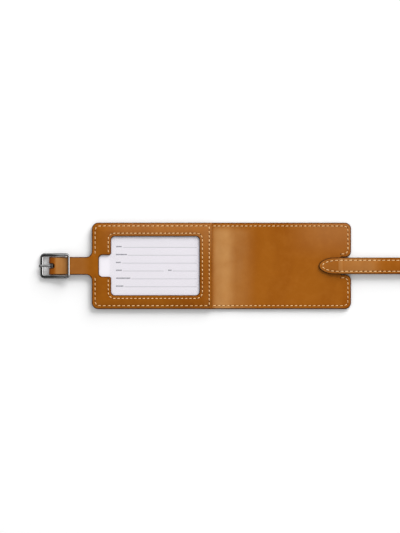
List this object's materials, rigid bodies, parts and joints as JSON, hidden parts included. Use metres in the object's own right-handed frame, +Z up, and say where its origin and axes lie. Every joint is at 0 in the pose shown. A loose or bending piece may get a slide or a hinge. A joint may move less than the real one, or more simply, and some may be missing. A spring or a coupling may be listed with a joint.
{
  "type": "luggage tag",
  "caption": "Bifold leather luggage tag with a windowed card pocket, a sewn strap and a metal buckle, lying open and flat.",
  "frame": {"origin": "on the fold line, half way across the width, on the underside of the outer leather", "axes": "+X from the fold towards the cover panel and the strap's free end, +Z up out of the inner faces, +Y across the width"},
  "size_m": [0.4057, 0.069, 0.0062],
  "materials": {
    "outer_leather": "smooth vegetable-tanned leather, tan, semi-gloss",
    "lining_leather": "smooth tan leather, semi-gloss",
    "frame_leather": "smooth tan leather, semi-gloss",
    "strap_leather": "smooth tan leather, semi-gloss",
    "strap_under_leather": "smooth tan leather",
    "thread": "waxed cream thread",
    "film": "clear flexible film",
    "card": "matte white card",
    "buckle_metal": "polished nickel-plated steel"
  },
  "bodies": {
    "window_panel": {"outer_leather_window": "outer_leather", "lining_window": "lining_leather", "window_frame": "frame_leather", "window_film": "film", "edge_stitching_window": "thread", "window_stitching": "thread"},
    "card": {"id_card": "card"},
    "cover_panel": {"outer_leather_cover": "outer_leather", "lining_cover": "lining_leather", "edge_stitching_cover_upper": "thread", "edge_stitching_cover_lower": "thread", "strap_anchor_top": "strap_leather", "strap_anchor_lining": "strap_under_leather", "strap_anchor_stitching": "thread"},
    "buckle": {"buckle_frame": "buckle_metal", "buckle_bar": "buckle_metal"},
    "prong": {"buckle_prong": "buckle_metal"},
    "strap_1": {"strap_top_1": "strap_leather", "strap_lining_1": "strap_under_leather", "strap_stitch_left_1": "thread", "strap_stitch_right_1": "thread"},
    "strap_2": {"strap_top_2": "strap_leather", "strap_lining_2": "strap_under_leather", "strap_stitch_left_2": "thread", "strap_stitch_right_2": "thread"},
    "strap_3": {"strap_top_3": "strap_leather", "strap_lining_3": "strap_under_leather", "strap_stitch_left_3": "thread", "strap_stitch_right_3": "thread"},
    "strap_4": {"strap_top_4": "strap_leather", "strap_lining_4": "strap_under_leather", "strap_stitch_left_4": "thread", "strap_stitch_right_4": "thread"},
    "strap_5": {"strap_top_5": "strap_leather", "strap_lining_5": "strap_under_leather", "strap_stitch_left_5": "thread", "strap_stitch_right_5": "thread"},
    "strap_6": {"strap_top_6": "strap_leather", "strap_lining_6": "strap_under_leather", "strap_stitch_left_6": "thread", "strap_stitch_right_6": "thread"},
    "strap_7": {"strap_top_7": "strap_leather", "strap_lining_7": "strap_under_leather", "strap_tip_stitching": "thread"}
  },
  "joints": [
    {"name": "cover_fold", "type": "hinge", "parent": "window_panel", "child": "cover_panel", "pos_m": [0, 0, 0.0044], "axis": [0, -1, 0], "range_deg": [0, 180]},
    {"name": "card_slide", "type": "slide", "parent": "window_panel", "child": "card", "axis": [-1, 0, 0], "range_m": [-0.086, 0]},
    {"name": "buckle_pivot", "type": "hinge", "parent": "window_panel", "child": "buckle", "pos_m": [-0.1356, 0, 0.0022], "axis": [0, 1, 0], "range_deg": [-125, 0]},
    {"name": "prong_pivot", "type": "hinge", "parent": "buckle", "child": "prong", "pos_m": [-0.1356, 0, 0.0022], "axis": [0, -1, 0], "range_deg": [-85, 0]},
    {"name": "strap_root", "type": "hinge", "parent": "cover_panel", "child": "strap_1", "pos_m": [0.096, 0, 0.0022], "axis": [0, -1, 0], "range_deg": [-18, 0]},
    {"name": "strap_curl_1", "type": "hinge", "parent": "strap_1", "child": "strap_2", "pos_m": [0.165, 0, 0.0046], "axis": [0, -1, 0], "range_deg": [0, 31]},
    {"name": "strap_curl_2", "type": "hinge", "parent": "strap_2", "child": "strap_3", "pos_m": [0.1736, 0, 0.0046], "axis": [0, -1, 0], "range_deg": [0, 31]},
    {"name": "strap_curl_3", "type": "hinge", "parent": "strap_3", "child": "strap_4", "pos_m": [0.1822, 0, 0.0046], "axis": [0, -1, 0], "range_deg": [0, 31]},
    {"name": "strap_curl_4", "type": "hinge", "parent": "strap_4", "child": "strap_5", "pos_m": [0.1908, 0, 0.0046], "axis": [0, -1, 0], "range_deg": [0, 31]},
    {"name": "strap_curl_5", "type": "hinge", "parent": "strap_5", "child": "strap_6", "pos_m": [0.1994, 0, 0.0046], "axis": [0, -1, 0], "range_deg": [0, 31]},
    {"name": "strap_curl_6", "type": "hinge", "parent": "strap_6", "child": "strap_7", "pos_m": [0.208, 0, 0.0046], "axis": [0, -1, 0], "range_deg": [0, 31]}
  ],
  "couplings": [
    {"joint": "strap_root", "follows": "cover_fold", "ratio": -0.1},
    {"joint": "strap_curl_2", "follows": "strap_curl_1", "ratio": 1},
    {"joint": "strap_curl_3", "follows": "strap_curl_1", "ratio": 1},
    {"joint": "strap_curl_4", "follows": "strap_curl_1", "ratio": 1},
    {"joint": "strap_curl_5", "follows": "strap_curl_1", "ratio": 1},
    {"joint": "strap_curl_6", "follows": "strap_curl_1", "ratio": 1}
  ]
}
